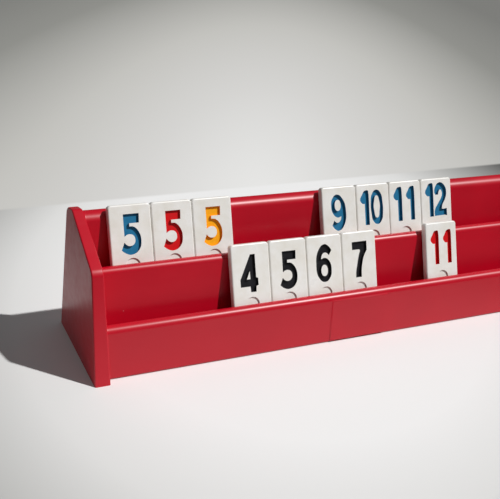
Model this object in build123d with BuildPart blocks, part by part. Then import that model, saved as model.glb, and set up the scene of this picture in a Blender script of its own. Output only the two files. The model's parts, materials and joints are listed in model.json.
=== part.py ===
from build123d import *
import os
from math import atan2, cos, degrees, hypot, radians, sin

# Two-tier rack for number tiles, with twelve tiles standing in it.
# X runs along the rack, -Y is the player's side and Z is up from the table.
# The origin is on the table, under the middle of the rack.

os.makedirs("parts", exist_ok=True)

# Tiles
tile_width = 24.0
tile_height = 43.0
tile_thickness = 4.4
tile_corner_radius = 2.0
tile_edge_chamfer = 0.5
dimple_diameter = 8.4
dimple_depth = 0.8
dimple_below_top = 34.7
tile_side_gap = 0.15

# How a tile stands in its slot
lean_angle = 21.2
bead_to_tile_gap = 0.1
floor_to_tile_gap = 0.05
front_slot_play = 1.3
back_foot_play = 0.4

# Walls of the long rack moulding
wall_thickness = 2.0
wall_lean_angle = 15.0
wall_set_back = 0.8
bead_radius = 1.9
front_bead_y = 9.0
front_bead_z = 29.8
front_bead_overhang = 0.3
front_foot_y = 4.5
rear_foot_y = 67.1
middle_bead_z = 53.2
back_bead_z = 78.2
front_slot_depth = 7.4
back_slot_depth = 8.9
wall_root_radius = 0.7
foot_edge_radius = 1.4

# End panels
rack_length = 328.0
panel_depth = 71.6
panel_height = 82.4
panel_knee_y = 11.0
panel_knee_z = 65.2
panel_crest_y = 47.8
panel_back_top_y = 60.0
panel_base_thickness = 8.7
panel_top_thickness = 5.0
knee_radius = 5.0
crest_radius = 2.0
back_top_radius = 5.0
panel_edge_radius = 0.8

# How a panel seats on the rack moulding
panel_skin = 2.6
seat_clearance = 0.05
spigot_clearance = 0.25
spigot_wall = 1.8
spigot_reach = 5.0
spigot_above_table = 1.2
panel_rib_thickness = 1.6
panel_rib_spacing = 15.0

# Where each run of tiles starts, from the left panel's outer face
front_run_start = 83.1
front_single_start = 216.9
back_run_start = 17.6
back_second_start = 149.3

lean_sin = sin(radians(lean_angle))
lean_cos = cos(radians(lean_angle))
wall_sin = sin(radians(wall_lean_angle))
wall_cos = cos(radians(wall_lean_angle))


# The slots lean back, so places in them are worked out in two lengths:
# "across" runs square to a tile's face, towards the back, and "along" runs up the tile.
def across(y, z):
    return y * lean_cos - z * lean_sin


def along(y, z):
    return y * lean_sin + z * lean_cos


def upright(a, s):
    return (a * lean_cos + s * lean_sin, s * lean_cos - a * lean_sin)


def along_at_height(a, z):
    return (z + a * lean_sin) / lean_cos


def beyond(start, end, distance):
    share = distance / hypot(end[0] - start[0], end[1] - start[1])
    return (end[0] + (end[0] - start[0]) * share, end[1] + (end[1] - start[1]) * share)


def centred(point):
    return (point[0] - panel_depth / 2, point[1])


# The middle and back walls stand steeper than the tiles, which touch only their beads.
# A point is given by its length along a tile and how far it lies behind the wall's middle.
def on_wall(bead, s, behind=0.0):
    top_y = bead[0] + (wall_set_back + behind) * wall_cos
    top_z = bead[1] - (wall_set_back + behind) * wall_sin
    drop = (along(top_y, top_z) - s) / cos(radians(lean_angle - wall_lean_angle))
    return (top_y - drop * wall_sin, top_z - drop * wall_cos)


# The middle bead holds the front row's backs and its wall is the back row's lip.
half_wall = wall_thickness / 2
front_bead = (front_bead_y, front_bead_z)
front_row_across = across(*front_bead) + bead_radius + front_slot_play
front_floor_along = along(*front_bead) - front_slot_depth

middle_bead_across = front_row_across + tile_thickness + bead_to_tile_gap + bead_radius
middle_bead_along = along_at_height(middle_bead_across, middle_bead_z)
middle_bead = upright(middle_bead_across, middle_bead_along)
back_floor_along = middle_bead_along - back_slot_depth
lip_foot = on_wall(middle_bead, back_floor_along, half_wall)
back_row_across = across(*lip_foot) + back_foot_play

back_bead_across = back_row_across + tile_thickness + bead_to_tile_gap + bead_radius
back_bead_along = along_at_height(back_bead_across, back_bead_z)
back_bead = upright(back_bead_across, back_bead_along)

# Centre lines of the walls: front leg, front floor, middle wall, back floor, back wall, rear leg.
front_foot = (front_foot_y + half_wall, 0.0)
rear_foot = (rear_foot_y - half_wall, 0.0)
front_leg_top = (front_bead_y - bead_radius + front_bead_overhang + half_wall, front_bead_z)


def on_front_leg(s):
    rise = (front_leg_top[0] - front_foot[0], front_leg_top[1] - front_foot[1])
    share = (s - along(*front_foot)) / along(*rise)
    return (front_foot[0] + rise[0] * share, front_foot[1] + rise[1] * share)


front_floor_outer = on_front_leg(front_floor_along - half_wall)
front_floor_inner = on_wall(middle_bead, front_floor_along - half_wall)
middle_wall_top = on_wall(middle_bead, middle_bead_along)
back_floor_outer = on_wall(middle_bead, back_floor_along - half_wall)
back_floor_inner = on_wall(back_bead, back_floor_along - half_wall)
back_wall_top = on_wall(back_bead, back_bead_along)

# The legs are drawn past the table and trimmed there.
leg_overrun = 3 * wall_thickness
walls = [
    (beyond(front_leg_top, front_foot, leg_overrun), front_leg_top),
    (front_floor_outer, front_floor_inner),
    (front_floor_inner, middle_wall_top),
    (back_floor_outer, back_floor_inner),
    (back_floor_inner, back_wall_top),
    (back_bead, beyond(back_bead, rear_foot, leg_overrun)),
]
beads = [front_bead, middle_bead, back_bead]
hollow_outline = [
    front_floor_outer,
    front_floor_inner,
    back_floor_outer,
    back_floor_inner,
    back_bead,
]


def draw_walls(growth, mode=Mode.ADD):
    for start, end in walls:
        run = hypot(end[0] - start[0], end[1] - start[1])
        turn = degrees(atan2(end[1] - start[1], end[0] - start[0]))
        with Locations(centred(((start[0] + end[0]) / 2, (start[1] + end[1]) / 2))):
            SlotCenterToCenter(run, wall_thickness + 2 * growth, rotation=turn, mode=mode)
    for bead in beads:
        with Locations(centred(bead)):
            Circle(bead_radius + growth, mode=mode)


# The rack moulding's section, or its seat in a panel when it is drawn with some growth.
def draw_section(sketch, growth=0.0):
    draw_walls(growth)
    with Locations((0, -growth)):
        Rectangle(2 * panel_depth, 2 * leg_overrun, align=(Align.CENTER, Align.MAX), mode=Mode.SUBTRACT)
    reach = half_wall + growth
    leg_side = on_front_leg(front_floor_along + growth)
    slot_corners = [
        (leg_side[0] + reach, leg_side[1]),
        on_wall(middle_bead, front_floor_along + growth, -reach),
        on_wall(middle_bead, back_floor_along + growth, reach),
        on_wall(back_bead, back_floor_along + growth, -reach),
    ]
    for corner in slot_corners:
        root = sketch.vertices().sort_by_distance((*centred(corner), 0))[0]
        fillet(root, wall_root_radius - growth)


# The space under the slots, kept a gap away from every wall.
def draw_hollow(gap):
    foot = spigot_above_table + gap
    outline = [(front_foot[0], foot), *hollow_outline, (rear_foot[0], foot)]
    Polygon(*[centred(point) for point in outline], align=None)
    draw_walls(gap, mode=Mode.SUBTRACT)


# Long rack moulding: one folded wall with a round bead on each free edge
with BuildPart() as rack_profile:
    with BuildSketch(Plane.YZ) as section:
        draw_section(section)
        front_edge = section.vertices().sort_by_distance((*centred((front_foot_y, 0)), 0))[0]
        fillet(front_edge, foot_edge_radius)
    extrude(amount=rack_length / 2 - panel_skin - seat_clearance, both=True)

rack_profile.part.label = "rack_profile"
export_step(rack_profile.part, "parts/rack_profile.step")

# End panel: a slab that thins towards its top, with a seat cut to the moulding's section
# and a cored spigot that plugs into the hollow under the slots
outer_face = -rack_length / 2
seat_plane = Plane.YZ.offset(outer_face + panel_skin)
draft = degrees(atan2(panel_base_thickness - panel_top_thickness, panel_height))
inner_plane = Plane(
    origin=(outer_face + panel_base_thickness, 0, 0),
    x_dir=(0, 1, 0),
    z_dir=(cos(radians(draft)), 0, sin(radians(draft))),
)
panel_corners = [
    ((panel_knee_y, panel_knee_z), knee_radius),
    ((panel_crest_y, panel_height), crest_radius),
    ((panel_back_top_y, panel_height), back_top_radius),
]
panel_outline = [(0, 0), *[corner for corner, radius in panel_corners], (panel_depth, 0)]
seat_depth = panel_base_thickness - panel_skin

with BuildPart() as end_panel_left:
    with BuildSketch(Plane.YZ.offset(outer_face)) as outline:
        Polygon(*[centred(corner) for corner in panel_outline], align=None)
        for corner, radius in panel_corners:
            fillet(outline.vertices().sort_by_distance((*centred(corner), 0))[0], radius)
    extrude(amount=panel_base_thickness)
    split(bisect_by=inner_plane, keep=Keep.BOTTOM)
    rims = end_panel_left.faces().sort_by(Axis.X)
    rim_edges = rims[0].edges() + rims[-1].edges()
    fillet(rim_edges.filter_by(lambda edge: edge.center().Z > panel_edge_radius), panel_edge_radius)
    with BuildSketch(seat_plane) as spigot:
        draw_hollow(spigot_clearance)
    extrude(amount=seat_depth + spigot_reach)
    with BuildSketch(seat_plane) as core:
        draw_hollow(spigot_clearance + spigot_wall)
        with GridLocations(panel_rib_spacing, 0, 3, 1):
            Rectangle(panel_rib_thickness, 2 * panel_height, mode=Mode.SUBTRACT)
    extrude(amount=seat_depth + spigot_reach, mode=Mode.SUBTRACT)
    with BuildSketch(seat_plane) as seat:
        draw_section(seat, seat_clearance)
    extrude(amount=seat_depth, mode=Mode.SUBTRACT)

end_panel_left.part.label = "end_panel_left"
export_step(end_panel_left.part, "parts/end_panel_left.step")

with BuildPart() as end_panel_right:
    mirror(end_panel_left.part, about=Plane.YZ)

end_panel_right.part.label = "end_panel_right"
export_step(end_panel_right.part, "parts/end_panel_right.step")

# Tiles: each stands on its slot's floor with its back against the bead behind it
tile_pitch = tile_width + tile_side_gap
front_runs = [
    (front_run_start, ["tile_black_4", "tile_black_5", "tile_black_6", "tile_black_7"]),
    (front_single_start, ["tile_red_11"]),
]
back_runs = [
    (back_run_start, ["tile_blue_5", "tile_red_5", "tile_yellow_5"]),
    (back_second_start, ["tile_blue_9", "tile_blue_10", "tile_blue_11", "tile_blue_12"]),
]
rows = [
    (front_row_across, front_floor_along, front_runs),
    (back_row_across, back_floor_along, back_runs),
]

for row_across, floor_along, runs in rows:
    middle_along = floor_along + floor_to_tile_gap + tile_height / 2
    middle_y, middle_z = centred(upright(row_across, middle_along))
    for run_start, names in runs:
        for place, name in enumerate(names):
            middle_x = outer_face + run_start + place * tile_pitch + tile_width / 2
            face = Plane(
                origin=(middle_x, middle_y, middle_z),
                x_dir=(1, 0, 0),
                z_dir=(0, -lean_cos, lean_sin),
            )
            with BuildPart() as tile:
                with BuildSketch(face):
                    RectangleRounded(tile_width, tile_height, tile_corner_radius)
                extrude(amount=-tile_thickness)
                chamfer(tile.faces().filter_by(face).edges(), tile_edge_chamfer)
                with BuildSketch(face):
                    with Locations((0, tile_height / 2 - dimple_below_top)):
                        Circle(dimple_diameter / 2)
                extrude(amount=-dimple_depth, mode=Mode.SUBTRACT)
            tile.part.label = name
            export_step(tile.part, f"parts/{name}.step")
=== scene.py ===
import json
import math

import bpy
from mathutils import Matrix, Vector

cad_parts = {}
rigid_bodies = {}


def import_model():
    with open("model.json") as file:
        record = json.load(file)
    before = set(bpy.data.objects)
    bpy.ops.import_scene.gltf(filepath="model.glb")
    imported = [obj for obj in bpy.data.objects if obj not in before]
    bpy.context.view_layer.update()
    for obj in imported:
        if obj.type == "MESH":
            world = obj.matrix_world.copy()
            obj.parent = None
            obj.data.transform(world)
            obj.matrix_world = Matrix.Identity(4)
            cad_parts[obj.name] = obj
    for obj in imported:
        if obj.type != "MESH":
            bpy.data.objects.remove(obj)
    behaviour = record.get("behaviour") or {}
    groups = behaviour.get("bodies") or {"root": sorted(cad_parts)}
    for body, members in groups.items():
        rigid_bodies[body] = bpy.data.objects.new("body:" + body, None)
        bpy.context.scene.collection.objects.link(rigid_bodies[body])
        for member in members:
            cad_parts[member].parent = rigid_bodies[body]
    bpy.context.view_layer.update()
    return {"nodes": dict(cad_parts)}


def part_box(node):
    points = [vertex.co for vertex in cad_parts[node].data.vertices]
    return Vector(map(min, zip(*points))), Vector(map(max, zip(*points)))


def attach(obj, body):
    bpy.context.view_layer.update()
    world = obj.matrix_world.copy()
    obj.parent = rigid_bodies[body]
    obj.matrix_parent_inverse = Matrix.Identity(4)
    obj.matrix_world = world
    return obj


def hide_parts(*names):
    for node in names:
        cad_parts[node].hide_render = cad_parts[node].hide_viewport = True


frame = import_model()

# Number tile rack with twelve tiles standing in it.
# Lengths in the dictionaries are in millimetres, angles in degrees.
mm = 0.001
sameSpot = 0.01 * mm           # points closer together than this count as one
onCut = 0.003 * mm             # points closer to a cut than this lie on it
cutSnap = 0.0005 * mm          # a cut runs through points closer to it than this


def pickOnly(*pieces):
    if bpy.context.mode != "OBJECT":
        bpy.ops.object.mode_set(mode="OBJECT")
    bpy.ops.object.select_all(action="DESELECT")
    for piece in pieces:
        piece.select_set(True)
    bpy.context.view_layer.objects.active = pieces[0]


# leaves the piece in edit mode with only the wanted vertices, edges or faces selected
def choose(piece, kind, wanted):
    pickOnly(piece)
    bpy.ops.object.mode_set(mode="EDIT")
    bpy.ops.mesh.select_mode(type=kind)
    bpy.ops.mesh.select_all(action="DESELECT")
    bpy.ops.object.mode_set(mode="OBJECT")
    mesh = piece.data
    if kind == "VERT":
        for vertex in mesh.vertices:
            vertex.select = wanted(vertex)
    elif kind == "EDGE":
        for edge in mesh.edges:
            edge.select = wanted(*[mesh.vertices[i].co for i in edge.vertices])
    else:
        for face in mesh.polygons:
            face.select = wanted(face)
    bpy.ops.object.mode_set(mode="EDIT")


def applyModifier(piece, kind, **settings):
    pickOnly(piece)
    modifier = piece.modifiers.new(kind.title(), kind)
    for name, value in settings.items():
        setattr(modifier, name, value)
    bpy.ops.object.modifier_apply(modifier=modifier.name)


# merges points that fall together and turns all faces outwards
def tidyNormals(piece, mergeDistance=0.002):
    pickOnly(piece)
    bpy.ops.object.mode_set(mode="EDIT")
    bpy.ops.mesh.select_all(action="SELECT")
    bpy.ops.mesh.remove_doubles(threshold=mergeDistance * mm)
    bpy.ops.mesh.normals_make_consistent(inside=False)
    bpy.ops.object.mode_set(mode="OBJECT")


# large flat faces keep their own normal, so only the rounded edges shade round
def smoothRounds(piece, sharpAngle):
    pickOnly(piece)
    bpy.ops.object.shade_smooth_by_angle(angle=math.radians(sharpAngle))
    applyModifier(piece, "WEIGHTED_NORMAL", keep_sharp=True, weight=50)


def ownCopy(piece, name):
    copy = piece.copy()
    copy.data = piece.data.copy()
    copy.name = copy.data.name = name
    bpy.context.scene.collection.objects.link(copy)
    return copy


def dress(piece, *materials):
    piece.data.materials.clear()
    for material in materials:
        piece.data.materials.append(material)


def linearColour(hexColour):
    channels = [int(hexColour[i:i + 2], 16) / 255 for i in (1, 3, 5)]
    return [c / 12.92 if c <= 0.04045 else ((c + 0.055) / 1.055) ** 2.4 for c in channels] + [1.0]


# One node with its settings and links. A settings name is an attribute or else an input, and a
# colour Mix has its factor at input 0, its colours at inputs 6 and 7 and its result at output 2.
def addNode(tree, kind, settings=None, links=None):
    node = tree.nodes.new(kind)
    for name, value in (settings or {}).items():
        if isinstance(name, str) and hasattr(node, name):
            setattr(node, name, value)
        else:
            node.inputs[name].default_value = value
    for name, source in (links or {}).items():
        tree.links.new(source, node.inputs[name])
    return node


def blankMaterial(name, shown):
    material = bpy.data.materials.new(name)
    material.use_nodes = True
    material.diffuse_color = linearColour(shown)
    material.node_tree.nodes.clear()
    return material, material.node_tree


# High-impact polystyrene, injection moulded in a satin steel tool: a deep clear red with a
# soft sheen, faint flow marks, a fine orange peel, rub marks along the slots and some dust.
rackFinish = {
    "colour": "#C60221",
    "flowColour": "#B2021D",
    "dustColour": "#E9A7AE",
    "ior": 1.48,
    "roughness": (0.32, 0.40),
    "flowSize": 70.0,
    "peelSize": 1.3,
    "peelDepth": 0.012,
    "rubLength": 60.0,
    "rubWidth": 5.0,
    "dustSpacing": 17.0,
    "dustSize": 0.32,
    "dustSkip": 0.45,          # share of the cells without a dot
    "dustCover": 0.75,
    "peelStrength": 0.6,
}


def mouldedRed():
    look = rackFinish
    material, tree = blankMaterial("satin_moulded_red", look["colour"])
    place = addNode(tree, "ShaderNodeTexCoord")
    flow = addNode(
        tree,
        "ShaderNodeTexNoise",
        {"Scale": 1 / (look["flowSize"] * mm), "Detail": 2.0, "Distortion": 1.2},
        {"Vector": place.outputs["Object"]},
    )
    body = addNode(
        tree,
        "ShaderNodeMix",
        {"data_type": "RGBA", 6: linearColour(look["flowColour"]), 7: linearColour(look["colour"])},
        {0: flow.outputs["Fac"]},
    )
    # dust: a small pale dot in some of the cells
    cell = addNode(
        tree,
        "ShaderNodeTexVoronoi",
        {"Scale": 1 / (look["dustSpacing"] * mm)},
        {"Vector": place.outputs["Object"]},
    )
    dotEdge = look["dustSize"] / look["dustSpacing"]
    dot = addNode(
        tree,
        "ShaderNodeMapRange",
        {"From Min": dotEdge, "From Max": dotEdge * 0.5, "To Min": 0.0, "To Max": look["dustCover"]},
        {"Value": cell.outputs["Distance"]},
    )
    pickCell = addNode(tree, "ShaderNodeSeparateColor", {}, {"Color": cell.outputs["Color"]})
    few = addNode(
        tree,
        "ShaderNodeMath",
        {"operation": "GREATER_THAN", 1: look["dustSkip"]},
        {0: pickCell.outputs["Red"]},
    )
    dust = addNode(
        tree,
        "ShaderNodeMath",
        {"operation": "MULTIPLY"},
        {0: dot.outputs["Result"], 1: few.outputs[0]},
    )
    dusty = addNode(
        tree,
        "ShaderNodeMix",
        {"data_type": "RGBA", 7: linearColour(look["dustColour"])},
        {0: dust.outputs[0], 6: body.outputs[2]},
    )
    # tiles slide along the slots, so the rub marks are drawn out along X
    stretch = addNode(
        tree,
        "ShaderNodeMapping",
        {"Scale": (1 / (look["rubLength"] * mm), 1 / (look["rubWidth"] * mm), 1 / (look["rubWidth"] * mm))},
        {"Vector": place.outputs["Object"]},
    )
    rub = addNode(
        tree,
        "ShaderNodeTexNoise",
        {"Scale": 1.0, "Detail": 4.0, "Roughness": 0.6},
        {"Vector": stretch.outputs["Vector"]},
    )
    sheen = addNode(
        tree,
        "ShaderNodeMapRange",
        {"From Min": 0.3, "From Max": 0.7, "To Min": look["roughness"][0], "To Max": look["roughness"][1]},
        {"Value": rub.outputs["Fac"]},
    )
    peel = addNode(
        tree,
        "ShaderNodeTexNoise",
        {"Scale": 1 / (look["peelSize"] * mm), "Detail": 1.0},
        {"Vector": place.outputs["Object"]},
    )
    bump = addNode(
        tree,
        "ShaderNodeBump",
        {"Strength": look["peelStrength"], "Distance": look["peelDepth"] * mm},
        {"Height": peel.outputs["Fac"]},
    )
    shader = addNode(
        tree,
        "ShaderNodeBsdfPrincipled",
        {"IOR": look["ior"]},
        {
            "Base Color": dusty.outputs[2],
            "Roughness": sheen.outputs["Result"],
            "Normal": bump.outputs["Normal"],
        },
    )
    addNode(tree, "ShaderNodeOutputMaterial", {}, {"Surface": shader.outputs["BSDF"]})
    return material


# Urea resin, compression moulded and tumbled: dense warm white that looks like bone,
# smooth with a low gloss, very faintly clouded.
tileFinish = {
    "colour": "#F2F0EC",
    "cloudColour": "#E9E5DC",
    "ior": 1.56,
    "roughness": (0.24, 0.34),
    "cloudSize": 9.0,
    "tumbleSize": 0.9,
    "tumbleDepth": 0.008,
    "tumbleStrength": 0.5,
}


def tumbledWhite():
    look = tileFinish
    material, tree = blankMaterial("tumbled_white_resin", look["colour"])
    place = addNode(tree, "ShaderNodeTexCoord")
    cloud = addNode(
        tree,
        "ShaderNodeTexNoise",
        {"Scale": 1 / (look["cloudSize"] * mm), "Detail": 3.0, "Roughness": 0.55},
        {"Vector": place.outputs["Object"]},
    )
    soft = addNode(
        tree,
        "ShaderNodeMapRange",
        {"From Min": 0.35, "From Max": 0.7},
        {"Value": cloud.outputs["Fac"]},
    )
    body = addNode(
        tree,
        "ShaderNodeMix",
        {"data_type": "RGBA", 6: linearColour(look["colour"]), 7: linearColour(look["cloudColour"])},
        {0: soft.outputs["Result"]},
    )
    gloss = addNode(
        tree,
        "ShaderNodeMapRange",
        {"To Min": look["roughness"][0], "To Max": look["roughness"][1]},
        {"Value": cloud.outputs["Fac"]},
    )
    tumble = addNode(
        tree,
        "ShaderNodeTexNoise",
        {"Scale": 1 / (look["tumbleSize"] * mm), "Detail": 2.0},
        {"Vector": place.outputs["Object"]},
    )
    bump = addNode(
        tree,
        "ShaderNodeBump",
        {"Strength": look["tumbleStrength"], "Distance": look["tumbleDepth"] * mm},
        {"Height": tumble.outputs["Fac"]},
    )
    shader = addNode(
        tree,
        "ShaderNodeBsdfPrincipled",
        {"IOR": look["ior"]},
        {
            "Base Color": body.outputs[2],
            "Roughness": gloss.outputs["Result"],
            "Normal": bump.outputs["Normal"],
        },
    )
    addNode(tree, "ShaderNodeOutputMaterial", {}, {"Surface": shader.outputs["BSDF"]})
    return material


# Cellulose enamel wiped into the numerals: glossy, a little thicker in the corners,
# so its colour and gloss vary over a millimetre or two.
enamels = {
    "black": ("#131317", "#1D1D22"),
    "blue": ("#1A6C97", "#22789F"),
    "red": ("#DC0A12", "#C8060F"),
    "yellow": ("#FFB40A", "#F5A405"),
}
enamelFinish = {
    "ior": 1.5,
    "roughness": (0.3, 0.45),
    "poolSize": 2.5,
    "poolDepth": 0.03,
    "poolStrength": 0.5,
}


def wipedEnamel(paint):
    look = enamelFinish
    thin, thick = enamels[paint]
    material, tree = blankMaterial("wiped_enamel_" + paint, thin)
    place = addNode(tree, "ShaderNodeTexCoord")
    pool = addNode(
        tree,
        "ShaderNodeTexNoise",
        {"Scale": 1 / (look["poolSize"] * mm), "Detail": 2.0},
        {"Vector": place.outputs["Object"]},
    )
    body = addNode(
        tree,
        "ShaderNodeMix",
        {"data_type": "RGBA", 6: linearColour(thin), 7: linearColour(thick)},
        {0: pool.outputs["Fac"]},
    )
    gloss = addNode(
        tree,
        "ShaderNodeMapRange",
        {"To Min": look["roughness"][0], "To Max": look["roughness"][1]},
        {"Value": pool.outputs["Fac"]},
    )
    bump = addNode(
        tree,
        "ShaderNodeBump",
        {"Strength": look["poolStrength"], "Distance": look["poolDepth"] * mm},
        {"Height": pool.outputs["Fac"]},
    )
    shader = addNode(
        tree,
        "ShaderNodeBsdfPrincipled",
        {"IOR": look["ior"]},
        {
            "Base Color": body.outputs[2],
            "Roughness": gloss.outputs["Result"],
            "Normal": bump.outputs["Normal"],
        },
    )
    addNode(tree, "ShaderNodeOutputMaterial", {}, {"Surface": shader.outputs["BSDF"]})
    return material


rackRed = mouldedRed()
tileWhite = tumbledWhite()
paints = {paint: wipedEnamel(paint) for paint in enamels}
print("materials mixed")


# The long moulding's section: corners towards the back and up, each with its rounding radius.
rackShape = {
    "section": [
        # front wall up to its rolled rim
        (-31.30, 0.00, 1.40), (-28.33, 30.53, 3.90),
        # front slot
        (-23.69, 29.84, 0.45), (-26.79, 21.86, 1.10), (-17.04, 18.08, 1.10),
        # middle wall and its roll
        (-9.34, 54.19, 3.20), (-5.95, 55.42, 3.20),
        # back slot
        (-4.05, 53.94, 0.50), (-7.96, 43.86, 1.10), (2.09, 39.96, 1.10),
        # back wall, rolled over the top of the rear leg
        (10.26, 79.79, 5.75), (18.18, 78.82, 2.00), (15.31, 70.50, 4.00),
        # the rear leg's foot
        (31.32, 0.00, 0.30), (29.27, 0.00, 0.30),
        # the hollow underside, from the rear leg to the front wall's foot
        (12.40, 74.30, 0.50), (11.18, 74.30, 0.50), (3.57, 37.24, 1.50), (-9.80, 42.43, 1.00),
        (-15.58, 15.37, 1.50), (-27.35, 19.93, 1.00), (-29.29, 0.00, 0.30),
    ],
    "rollRadius": 3.0,         # corners from this radius up are rolls and get more steps
    "rollSteps": 12,
    "cornerSteps": 4,
    "halfLength": 158.0,
    "plateFrom": -19.0,        # bare plate on the front wall, barely raised
    "plateTo": 20.2,
    "plateRise": 0.5,
    "plateEdge": 0.4,
    "plateFacing": -0.97,      # how the front wall's flat outer face is told from the others:
    "plateBefore": -24.0,      # it looks forward, lies far enough forward and up, and is large
    "plateAbove": 4.0,
    "plateArea": 400.0,
    "filletRadius": 1.0,       # where the walls run into the end panels
    "filletSteps": 4,
    "sharpAngle": 40,
}

# A panel thins towards its top, so its inner side leans by the draft.
panelShape = {
    "outline": [
        (-35.8, 0.0, 0.0), (-25.3, 62.1, 5.0), (13.5, 81.0, 3.0), (24.6, 78.6, 5.5), (35.8, 0.0, 0.0),
    ],
    "outerFace": 164.0,
    "innerFoot": 155.3,        # inner side at the table
    "draft": 2.0,
    "cornerSteps": 6,
    "rimRadius": 0.8,
    "rimSteps": 3,
    "rimFrom": 0.5,            # the rim is rounded from this height up
    "sharpAngle": 40,
    "plugSink": 0.3,           # how far the plug's root runs into the panel
    "plugEnd": 151.0,          # the plug reaches further in than this, the panel's rim doesn't
    "plugMerge": 0.004,
    "plugFlatAngle": 0.4,
}


def rackPiece(piece, *nodes):
    dress(piece, rackRed)
    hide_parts(*nodes)
    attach(piece, "rack")


# a flat outline with its corners rounded, then drawn out along X
def drawOut(name, corners, stepsFor, start, end):
    bpy.ops.object.select_all(action="DESELECT")
    # the circle only supplies a ring of vertices, which move to the corners
    bpy.ops.mesh.primitive_circle_add(vertices=len(corners), radius=mm, fill_type="NGON")
    piece = bpy.context.active_object
    piece.name = piece.data.name = name
    points = [Vector((start, y, z)) * mm for y, z, radius in corners]
    for vertex, point in zip(piece.data.vertices, points):
        vertex.co = point
    for i, (y, z, radius) in enumerate(corners):
        if radius:
            corner = points[i]
            turn = (corner - points[i - 1]).angle(points[(i + 1) % len(points)] - corner)
            choose(piece, "VERT", lambda vertex: (vertex.co - corner).length < sameSpot)
            bpy.ops.mesh.bevel(
                offset=radius * math.tan(turn / 2) * mm,
                segments=stepsFor(radius),
                profile=0.5,
                affect="VERTICES",
            )
            bpy.ops.object.mode_set(mode="OBJECT")
    choose(piece, "FACE", lambda face: True)
    bpy.ops.mesh.extrude_region_move(TRANSFORM_OT_translate={"value": ((end - start) * mm, 0, 0)})
    bpy.ops.object.mode_set(mode="OBJECT")
    tidyNormals(piece)
    return piece


# a point on a panel's inner side, and the way from there towards the middle of the rack
def panelSide(side):
    draft = math.radians(panelShape["draft"])
    foot = Vector((side * panelShape["innerFoot"] * mm, 0, 0))
    return foot, Vector((-side * math.cos(draft), 0, math.sin(draft)))


def cutAcross(piece, at, normal, **cut):
    pickOnly(piece)
    bpy.ops.object.mode_set(mode="EDIT")
    bpy.ops.mesh.select_all(action="SELECT")
    bpy.ops.mesh.bisect(plane_co=at, plane_no=normal, threshold=cutSnap, **cut)
    bpy.ops.object.mode_set(mode="OBJECT")


# the moulding ends on a panel's inner side and swells into a small concave round there
def roundIntoPanel(piece, side):
    shape = rackShape
    foot, inward = panelSide(side)
    radius = shape["filletRadius"] * mm
    turns = [math.radians(90 * step / shape["filletSteps"]) for step in range(shape["filletSteps"] + 1)]
    for turn in turns[:-1]:
        cutAcross(piece, foot + inward * radius * (1 - math.sin(turn)), inward)
    cutAcross(piece, foot, inward, clear_inner=True)
    away = lambda point: (point - foot).dot(inward)
    reach = 0.0
    for turn in turns[1:]:
        furthest = radius * (1 - math.sin(turn)) + onCut
        choose(piece, "VERT", lambda vertex: away(vertex.co) < furthest)
        swell = radius * (1 - math.cos(turn))
        bpy.ops.transform.shrink_fatten(value=swell - reach, use_even_offset=False)
        reach = swell
    bpy.ops.object.mode_set(mode="OBJECT")
    for vertex in piece.data.vertices:
        vertex.co.z = max(vertex.co.z, 0)      # the feet stay on the table
    choose(piece, "EDGE", lambda a, b: abs(away(a)) < onCut and abs(away(b)) < onCut)
    bpy.ops.mesh.edge_face_add()
    bpy.ops.object.mode_set(mode="OBJECT")


def raisePlate(piece):
    shape = rackShape
    for edge, inner in ((shape["plateFrom"], 1), (shape["plateTo"], -1)):
        for step in (0, inner * shape["plateEdge"]):
            cutAcross(piece, ((edge + step) * mm, 0, 0), (1, 0, 0))
    low = (shape["plateFrom"] + shape["plateEdge"] / 2) * mm
    high = (shape["plateTo"] - shape["plateEdge"] / 2) * mm

    def plateFace(face):
        middle = face.center
        inPlace = middle.y < shape["plateBefore"] * mm and middle.z > shape["plateAbove"] * mm
        isWall = face.normal.y < shape["plateFacing"] and face.area > shape["plateArea"] * mm * mm
        return inPlace and isWall and low < middle.x < high

    choose(piece, "FACE", plateFace)
    bpy.ops.transform.translate(value=(0, -shape["plateRise"] * mm, 0))
    bpy.ops.object.mode_set(mode="OBJECT")


def modelMoulding():
    shape = rackShape
    steps = lambda radius: shape["rollSteps"] if radius >= shape["rollRadius"] else shape["cornerSteps"]
    moulding = drawOut("rack_moulding", shape["section"], steps, -shape["halfLength"], shape["halfLength"])
    raisePlate(moulding)
    for side in (-1, 1):
        roundIntoPanel(moulding, side)
    tidyNormals(moulding)
    smoothRounds(moulding, shape["sharpAngle"])
    rackPiece(moulding, "rack_profile")


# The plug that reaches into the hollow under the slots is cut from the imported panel. That mesh
# is loose triangles, so the copy is merged and its flat faces joined up first.
def panelPlug(node):
    source = frame["nodes"][node]
    plug = bpy.data.objects.new("plug", source.data.copy())
    bpy.context.scene.collection.objects.link(plug)
    pickOnly(plug)
    bpy.ops.object.mode_set(mode="EDIT")
    bpy.ops.mesh.select_all(action="SELECT")
    bpy.ops.mesh.customdata_custom_splitnormals_clear()
    bpy.ops.mesh.remove_doubles(threshold=panelShape["plugMerge"] * mm)
    bpy.ops.mesh.dissolve_limited(angle_limit=math.radians(panelShape["plugFlatAngle"]))
    bpy.ops.object.mode_set(mode="OBJECT")
    foot, inward = panelSide(-1)
    cutAcross(plug, foot - inward * panelShape["plugSink"] * mm, inward, use_fill=True, clear_inner=True)
    # what is left of the panel's own rim falls away
    choose(plug, "VERT", lambda vertex: vertex.co.x > -panelShape["plugEnd"] * mm)
    bpy.ops.mesh.select_linked(delimit=set())
    bpy.ops.mesh.select_all(action="INVERT")
    bpy.ops.mesh.delete(type="VERT")
    bpy.ops.object.mode_set(mode="OBJECT")
    return plug


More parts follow.
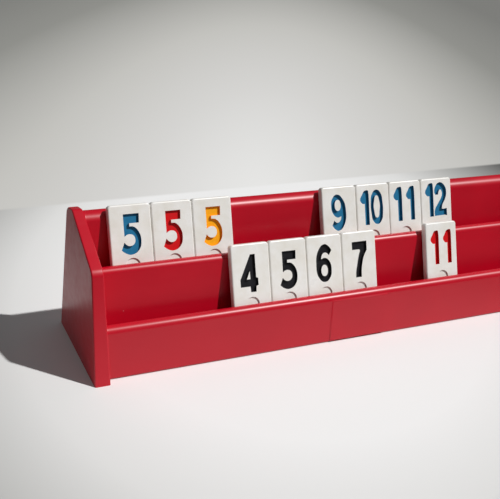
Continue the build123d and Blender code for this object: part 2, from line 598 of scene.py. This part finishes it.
def modelPanel():
    shape = panelShape
    steps = lambda radius: shape["cornerSteps"]
    panel = drawOut("left_panel", shape["outline"], steps, -shape["outerFace"], -shape["innerFoot"])
    foot, inward = panelSide(-1)
    cutAcross(panel, foot, inward, use_fill=True, clear_outer=True)
    onOuter = lambda point: abs(point.x + shape["outerFace"] * mm) < sameSpot
    onInner = lambda point: abs((point - foot).dot(inward)) < sameSpot
    onFaces = lambda point: onOuter(point) or onInner(point)
    alongX = lambda a, b: abs(a.x - b.x) > abs(a.z - b.z) + abs(a.y - b.y)
    raised = lambda a, b: a.z + b.z > 2 * shape["rimFrom"] * mm
    rim = lambda a, b: onFaces(a) and onFaces(b) and not alongX(a, b) and raised(a, b)
    choose(panel, "EDGE", rim)
    bpy.ops.mesh.bevel(
        offset=shape["rimRadius"] * mm,
        segments=shape["rimSteps"],
        profile=0.5,
        affect="EDGES",
    )
    bpy.ops.object.mode_set(mode="OBJECT")
    tidyNormals(panel)
    plug = panelPlug("end_panel_left")
    pickOnly(panel, plug)
    bpy.ops.object.join()
    smoothRounds(panel, shape["sharpAngle"])
    return panel


modelMoulding()
leftPanel = modelPanel()
rightPanel = ownCopy(leftPanel, "right_panel")
choose(rightPanel, "VERT", lambda vertex: True)
bpy.ops.transform.resize(value=(-1, 1, 1), center_override=(0, 0, 0))
bpy.ops.mesh.normals_make_consistent(inside=False)
bpy.ops.object.mode_set(mode="OBJECT")
rackPiece(leftPanel, "end_panel_left")
rackPiece(rightPanel, "end_panel_right")
print("rack and its end panels done")


# Each figure is a list of closed outlines, in mm from the tile's left edge and down from its
# top. A third value of 1 makes that point smooth, the others are corners.
figures = {
    "1": [
        [
            (0.0, 0.25, 1), (0.9, 0.0, 1), (2.5, 0.0, 1), (2.95, 0.7, 1), (3.1, 21.3), (0.05, 21.3),
            (0.05, 8.1), (-1.2, 8.15, 1), (-2.3, 7.3, 1), (-3.15, 5.5, 1), (-1.75, 2.7, 1),
        ],
    ],
    "2": [
        [
            (10.6, 9.0, 1), (11.6, 5.1, 1), (14.9, 2.75, 1), (18.6, 4.8, 1), (20.05, 9.5, 1),
            (18.9, 13.7, 1), (16.7, 17.2, 1), (16.1, 19.8), (17.5, 20.0), (20.0, 19.7), (20.1, 24.4),
            (18.2, 23.9), (10.4, 24.1), (10.6, 20.2, 1), (13.4, 16.0, 1), (16.0, 12.3, 1),
            (16.5, 9.4, 1), (15.2, 7.4, 1), (14.1, 8.6, 1), (13.6, 10.6), (11.4, 10.6),
        ],
    ],
    "4": [
        [
            (11.9, 6.2), (14.9, 6.2), (14.95, 19.5), (16.2, 20.1), (16.2, 24.1), (14.8, 24.6),
            (14.65, 27.8), (11.25, 27.8), (11.1, 24.5), (5.0, 24.5), (5.0, 20.2),
        ],
        [(11.15, 15.6), (9.1, 20.3), (11.3, 20.3)],
    ],
    "5": [
        [
            (8.05, 6.75), (17.0, 6.75), (16.75, 11.85), (11.2, 11.85), (11.2, 13.5), (13.7, 13.9, 1),
            (16.2, 16.6, 1), (17.4, 21.2, 1), (15.9, 26.6, 1), (11.8, 28.9, 1), (8.4, 28.1, 1),
            (5.95, 26.25), (7.75, 22.0), (9.2, 23.6, 1), (11.2, 24.15, 1), (13.3, 23.2, 1),
            (14.05, 20.9, 1), (13.2, 18.6, 1), (11.2, 17.75, 1), (9.5, 18.0, 1), (8.05, 18.9),
        ],
    ],
    "6": [
        [
            (16.9, 9.3), (15.0, 12.2), (13.6, 10.7, 1), (11.9, 10.4, 1), (10.4, 11.5, 1), (9.6, 14.1),
            (12.2, 13.45, 1), (15.2, 15.6, 1), (16.4, 20.9, 1), (15.2, 25.6, 1), (11.8, 27.8, 1),
            (7.9, 25.4, 1), (6.15, 17.0, 1), (8.0, 8.7, 1), (12.0, 5.35, 1), (14.9, 6.6, 1),
        ],
        [(11.65, 17.5, 1), (9.4, 20.9, 1), (11.65, 24.3, 1), (13.85, 20.9, 1)],
    ],
    "7": [
        [
            (7.1, 6.2), (17.45, 6.1), (17.45, 11.6), (15.1, 15.6, 1), (13.8, 20.0, 1), (13.15, 24.2, 1),
            (13.05, 27.7), (9.0, 27.7), (9.25, 24.2, 1), (10.2, 20.0, 1), (11.3, 15.5, 1), (12.7, 11.6),
            (12.1, 10.9), (7.1, 10.9),
        ],
    ],
    "9": [
        [
            (10.6, 4.75, 1), (14.4, 7.6, 1), (16.5, 15.0, 1), (15.0, 23.4, 1), (11.1, 26.75, 1),
            (8.3, 25.6, 1), (6.45, 23.3), (8.0, 20.3), (9.1, 21.5, 1), (10.6, 21.8, 1), (12.3, 20.6, 1),
            (13.1, 18.1), (10.4, 18.7, 1), (7.5, 16.4, 1), (6.25, 11.5, 1), (7.3, 7.0, 1),
        ],
        [(10.85, 8.0, 1), (8.75, 11.4, 1), (10.85, 14.75, 1), (13.0, 11.4, 1)],
    ],
    "0": [
        [
            (14.8, 3.85, 1), (17.9, 6.2, 1), (19.1, 12.0, 1), (19.2, 17.8, 1), (17.9, 23.2, 1),
            (15.0, 25.25, 1), (11.9, 23.2, 1), (10.6, 17.8, 1), (10.4, 12.0, 1), (11.6, 6.2, 1),
        ],
        [
            (14.7, 7.4, 1), (12.95, 10.7, 1), (12.8, 17.0, 1), (14.8, 21.2, 1), (16.6, 17.0, 1),
            (16.6, 10.7, 1),
        ],
    ],
}
engraving = {"depth": 1.5, "curveSteps": 5, "mergeDistance": 0.01}


def figureCutter(figure):
    outline = bpy.data.curves.new("figure_" + figure, "CURVE")
    outline.dimensions = "2D"
    outline.fill_mode = "BOTH"
    outline.resolution_u = engraving["curveSteps"]
    outline.extrude = engraving["depth"] * mm
    for loop in figures[figure]:
        spline = outline.splines.new("BEZIER")
        spline.bezier_points.add(len(loop) - 1)
        spline.use_cyclic_u = True
        for point, (x, down, *smooth) in zip(spline.bezier_points, loop):
            point.co = (x * mm, -down * mm, 0)
            point.handle_left_type = point.handle_right_type = "AUTO" if smooth else "VECTOR"
    cutter = bpy.data.objects.new("figure_" + figure, outline)
    bpy.context.scene.collection.objects.link(cutter)
    pickOnly(cutter)
    bpy.ops.object.convert(target="MESH")
    cutter = bpy.context.view_layer.objects.active
    tidyNormals(cutter, engraving["mergeDistance"])
    return cutter


figureCutters = {figure: figureCutter(figure) for figure in figures}
print("numerals drawn")


tileShape = {
    "width": 24.0,
    "height": 43.0,
    "thickness": 4.4,
    "cornerRadius": 2.0,
    "cornerSteps": 8,
    "edgeRadius": 0.95,
    "edgeSteps": 4,
    "lean": 21.2,
    "dimpleDiameter": 8.4,
    "dimpleDepth": 0.8,
    "dimpleRound": 0.3,
    "dimpleSides": 48,
    "dimpleRoundSteps": 3,
    "sharpAngle": 35,
}
# middle of a tile's face in each row as the solids have it, towards the back and up
rowPlaces = {"front": (-18.6995, 41.8353), "back": (0.1100, 63.8448)}

# figures as (figure, to the right, down); the dimple as its centre below the tile's top
tiles = {
    "tile_black_4": {"row": "front", "paint": "black", "figures": [("4", 0, 0)], "dimple": 34.7},
    "tile_black_5": {"row": "front", "paint": "black", "figures": [("5", 0, 0)], "dimple": 34.7},
    "tile_black_6": {"row": "front", "paint": "black", "figures": [("6", 0, 0)], "dimple": 34.7},
    "tile_black_7": {"row": "front", "paint": "black", "figures": [("7", 0, 0)], "dimple": 34.7},
    "tile_red_11": {
        "row": "front",
        "paint": "red",
        "figures": [("1", 6.8, 5.1), ("1", 16.5, 5.1)],
        "dimple": 34.7,
    },
    "tile_blue_5": {"row": "back", "paint": "blue", "figures": [("5", 0.1, -1.6)], "dimple": 33.3},
    "tile_red_5": {"row": "back", "paint": "red", "figures": [("5", 0.05, -1.4)], "dimple": 33.3},
    "tile_yellow_5": {"row": "back", "paint": "yellow", "figures": [("5", -0.05, -1.5)], "dimple": 33.3},
    "tile_blue_9": {"row": "back", "paint": "blue", "figures": [("9", 0, 0)], "dimple": 32.6},
    "tile_blue_10": {
        "row": "back",
        "paint": "blue",
        "figures": [("1", 6.0, 3.9), ("0", 0, 0)],
        "dimple": 32.6,
    },
    "tile_blue_11": {
        "row": "back",
        "paint": "blue",
        "figures": [("1", 6.45, 3.6), ("1", 15.95, 3.6)],
        "dimple": 32.6,
    },
    "tile_blue_12": {
        "row": "back",
        "paint": "blue",
        "figures": [("1", 6.55, 3.0), ("2", 0, 0)],
        "dimple": 32.6,
    },
}


# the face lies in the plane z = 0 with its middle at the origin
def modelBlank():
    shape = tileShape
    bpy.ops.object.select_all(action="DESELECT")
    bpy.ops.mesh.primitive_cube_add(
        size=1,
        location=(0, 0, -shape["thickness"] / 2 * mm),
        scale=(shape["width"] * mm, shape["height"] * mm, shape["thickness"] * mm),
    )
    blank = bpy.context.active_object
    blank.name = "tile_blank"
    bpy.ops.object.transform_apply(location=True, rotation=True, scale=True)
    # the four edges from face to back, then all those round the face and the back
    choose(blank, "EDGE", lambda a, b: abs(a.z - b.z) > mm)
    bpy.ops.mesh.bevel(
        offset=shape["cornerRadius"] * mm,
        segments=shape["cornerSteps"],
        profile=0.5,
        affect="EDGES",
    )
    choose(blank, "EDGE", lambda a, b: abs(a.z - b.z) < 0.1 * mm)
    bpy.ops.mesh.bevel(
        offset=shape["edgeRadius"] * mm,
        segments=shape["edgeSteps"],
        profile=0.5,
        affect="EDGES",
    )
    bpy.ops.object.mode_set(mode="OBJECT")
    tidyNormals(blank)
    dress(blank, tileWhite)
    return blank


def modelDimple():
    shape = tileShape
    depth = shape["dimpleDepth"] * mm
    bpy.ops.object.select_all(action="DESELECT")
    bpy.ops.mesh.primitive_cylinder_add(
        vertices=shape["dimpleSides"],
        radius=shape["dimpleDiameter"] / 2 * mm,
        depth=2 * depth,
        end_fill_type="NGON",
    )
    dimple = bpy.context.active_object
    dimple.name = "dimple_cutter"
    # the rim round the dimple's bottom
    choose(dimple, "EDGE", lambda a, b: a.z < -0.9 * depth and b.z < -0.9 * depth)
    bpy.ops.mesh.bevel(
        offset=shape["dimpleRound"] * mm,
        segments=shape["dimpleRoundSteps"],
        profile=0.5,
        affect="EDGES",
    )
    bpy.ops.object.mode_set(mode="OBJECT")
    tidyNormals(dimple)
    dress(dimple, tileWhite)
    return dimple


def cutAway(tile, cutter):
    applyModifier(
        tile,
        "BOOLEAN",
        operation="DIFFERENCE",
        solver="EXACT",
        material_mode="TRANSFER",
        object=cutter,
    )


def finishTile(name, look):
    shape = tileShape
    tile = ownCopy(blank, name + "_engraved")
    corner = Vector((-shape["width"] / 2 * mm, shape["height"] / 2 * mm, 0))
    for figure, right, down in look["figures"]:
        cutter = ownCopy(figureCutters[figure], "cutter")
        cutter.location = corner + Vector((right * mm, -down * mm, 0))
        dress(cutter, paints[look["paint"]])
        cutAway(tile, cutter)
        bpy.data.objects.remove(cutter)
    dimple.location = corner + Vector((shape["width"] / 2 * mm, -look["dimple"] * mm, 0))
    cutAway(tile, dimple)
    smoothRounds(tile, shape["sharpAngle"])
    low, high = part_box(name)
    y, z = rowPlaces[look["row"]]
    lean = math.radians(shape["lean"])
    tile.matrix_world = Matrix((
        (1, 0, 0, (low.x + high.x) / 2),
        (0, math.sin(lean), -math.cos(lean), y * mm),
        (0, math.cos(lean), math.sin(lean), z * mm),
        (0, 0, 0, 1),
    ))
    pickOnly(tile)
    bpy.ops.object.transform_apply(location=True, rotation=True, scale=True)
    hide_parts(name)
    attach(tile, name)


blank = modelBlank()
dimple = modelDimple()
for name, look in tiles.items():
    finishTile(name, look)
for helper in (blank, dimple, *figureCutters.values()):
    bpy.data.objects.remove(helper)
print("tiles done:", len(tiles))


# Painted board, rolled in matt white, with a sweep lying behind it: no shine, only a faint
# roller texture. Both carry a painted pool of light round the rack: away from it, painted shade darkens the
# sweep to grey and the board to nearly black.
table = {
    "size": 12000.0,
    # painted shade: the board darkens outwards from a painted pool of light round the rack
    "boardPaintedShade": [
        (0.0, "#F0F0EF"),
        (0.45, "#EEEEED"),
        (0.6, "#DEDEDC"),
        (0.75, "#B4B4B1"),
        (1.0, "#3C3C3A"),
    ],
    "boardMiddle": (-25.0, 60.0),       # across and along the camera's heading
    "boardReach": (300.0, 430.0),
    # painted shade: the sweep darkens outwards from a painted pool of light behind the rack
    "sweepPaintedShade": [
        (0.0, "#ECECEA"),
        (0.2, "#D8D7D4"),
        (0.4, "#C6C5C0"),
        (0.7, "#8F8F8A"),
        (1.0, "#7A7A76"),
    ],
    "sweepMiddle": (-52.0, 150.0),
    "sweepReach": (520.0, 2000.0),
    "heading": 27.87,
    "edgeBehind": 210.0,                # where the board ends behind the rack
    "edgeTurn": 1.4,
    "edgeSoftness": 4.0,
    "rollerSize": 2.2,
    "rollerDepth": 0.02,
    "rollerStrength": 0.4,
    "roughness": 0.75,
    "ior": 1.45,
}


# painted light and shade: grey rings round a lit middle, darker outwards, drawn out along the heading
def paintedLightFallOff(tree, place, middle, reach, shades):
    turned = addNode(
        tree,
        "ShaderNodeMapping",
        {"Rotation": (0, 0, math.radians(table["heading"]))},
        {"Vector": place.outputs["Object"]},
    )
    across, along = reach
    scale = (1 / (across * mm), 1 / (along * mm), 0)
    shift = (-middle[0] / across, -middle[1] / along, 0)
    drawn = addNode(
        tree,
        "ShaderNodeMapping",
        {"Location": shift, "Scale": scale},
        {"Vector": turned.outputs["Vector"]},
    )
    away = addNode(tree, "ShaderNodeVectorMath", {"operation": "LENGTH"}, {0: drawn.outputs["Vector"]})
    ramp = addNode(tree, "ShaderNodeValToRGB", {}, {"Fac": away.outputs["Value"]})
    stops = ramp.color_ramp.elements
    while len(stops) < len(shades):
        stops.new(0.5)
    for stop, (position, colour) in zip(stops, shades):
        stop.position = position
        stop.color = linearColour(colour)
    return ramp


def paintedBoard():
    look = table
    material, tree = blankMaterial("matt_painted_board", look["boardPaintedShade"][0][1])
    place = addNode(tree, "ShaderNodeTexCoord")
    # painted pool of light round the rack on the board, with painted shade further out
    board = paintedLightFallOff(tree, place, look["boardMiddle"], look["boardReach"], look["boardPaintedShade"])
    # the same painted pool of light and painted shade on the sweep behind
    sweep = paintedLightFallOff(tree, place, look["sweepMiddle"], look["sweepReach"], look["sweepPaintedShade"])
    turned = addNode(
        tree,
        "ShaderNodeMapping",
        {"Rotation": (0, 0, -math.radians(look["edgeTurn"]))},
        {"Vector": place.outputs["Object"]},
    )
    split = addNode(tree, "ShaderNodeSeparateXYZ", {}, {"Vector": turned.outputs["Vector"]})
    behind = addNode(
        tree,
        "ShaderNodeMapRange",
        {"From Min": look["edgeBehind"] * mm, "From Max": (look["edgeBehind"] + look["edgeSoftness"]) * mm},
        {"Value": split.outputs["Y"]},
    )
    both = addNode(
        tree,
        "ShaderNodeMix",
        {"data_type": "RGBA"},
        {0: behind.outputs["Result"], 6: board.outputs["Color"], 7: sweep.outputs["Color"]},
    )
    roller = addNode(
        tree,
        "ShaderNodeTexNoise",
        {"Scale": 1 / (look["rollerSize"] * mm), "Detail": 2.0},
        {"Vector": place.outputs["Object"]},
    )
    bump = addNode(
        tree,
        "ShaderNodeBump",
        {"Strength": look["rollerStrength"], "Distance": look["rollerDepth"] * mm},
        {"Height": roller.outputs["Fac"]},
    )
    shader = addNode(
        tree,
        "ShaderNodeBsdfPrincipled",
        {"Roughness": look["roughness"], "IOR": look["ior"]},
        {"Base Color": both.outputs[2], "Normal": bump.outputs["Normal"]},
    )
    addNode(tree, "ShaderNodeOutputMaterial", {}, {"Surface": shader.outputs["BSDF"]})
    return material


bpy.ops.object.select_all(action="DESELECT")
bpy.ops.mesh.primitive_plane_add(size=table["size"] * mm, location=(0, 0, 0))
board = bpy.context.active_object
board.name = "table_board"
dress(board, paintedBoard())


light = {
    "keyTravel": (-0.606, 0.435, -1.0),     # from the right, a little in front and above
    "keyStrength": 3.3,
    "keyAngle": 1.4,
    "fillColour": "#F6F7FA",
    "fillStrength": (0.04, 0.20),           # at the horizon and overhead
    "fillFullFrom": 0.8,                    # height in the sky from which it is full, 1 is overhead
}


def lightScene():
    look = light
    lamp = bpy.data.lights.new("key_light", "SUN")
    lamp.energy = look["keyStrength"]
    lamp.angle = math.radians(look["keyAngle"])
    key = bpy.data.objects.new("key_light", lamp)
    key.rotation_euler = Vector(look["keyTravel"]).to_track_quat("-Z", "Y").to_euler()
    bpy.context.scene.collection.objects.link(key)
    world = bpy.data.worlds.new("studio")
    world.use_nodes = True
    bpy.context.scene.world = world
    tree = world.node_tree
    tree.nodes.clear()
    sky = addNode(tree, "ShaderNodeTexCoord")
    height = addNode(tree, "ShaderNodeSeparateXYZ", {}, {"Vector": sky.outputs["Generated"]})
    horizon, overhead = look["fillStrength"]
    strength = addNode(
        tree,
        "ShaderNodeMapRange",
        {"From Max": look["fillFullFrom"], "To Min": horizon, "To Max": overhead},
        {"Value": height.outputs["Z"]},
    )
    fill = addNode(
        tree,
        "ShaderNodeBackground",
        {"Color": linearColour(look["fillColour"])},
        {"Strength": strength.outputs["Result"]},
    )
    addNode(tree, "ShaderNodeOutputWorld", {}, {"Surface": fill.outputs[0]})


# the photograph's viewpoint: turned towards +X, tipped down and rolled a little
camera = {
    "lens": 61.97,
    "sensor": 36.0,
    "place": (-274.47, -401.31, 264.30),
    "yaw": 27.87,
    "down": 25.04,
    "roll": 6.03,
    "clipStart": 10.0,
}


def aimCamera():
    look = camera
    yaw, down, roll = [math.radians(look[name]) for name in ("yaw", "down", "roll")]
    forward = Vector((math.sin(yaw) * math.cos(down), math.cos(yaw) * math.cos(down), -math.sin(down)))
    level = Vector((math.cos(yaw), -math.sin(yaw), 0))
    above = level.cross(forward)
    right = math.cos(roll) * level + math.sin(roll) * above
    up = math.cos(roll) * above - math.sin(roll) * level
    data = bpy.data.cameras.new("camera")
    data.lens = look["lens"]
    data.sensor_width = look["sensor"]
    data.clip_start = look["clipStart"] * mm
    viewer = bpy.data.objects.new("camera", data)
    turn = Matrix((right, up, -forward)).transposed().to_4x4()
    viewer.matrix_world = Matrix.Translation(Vector(look["place"]) * mm) @ turn
    bpy.context.scene.collection.objects.link(viewer)
    bpy.context.scene.camera = viewer


lightScene()
aimCamera()
bpy.context.scene.view_settings.view_transform = "Standard"
print("table, light and camera set")
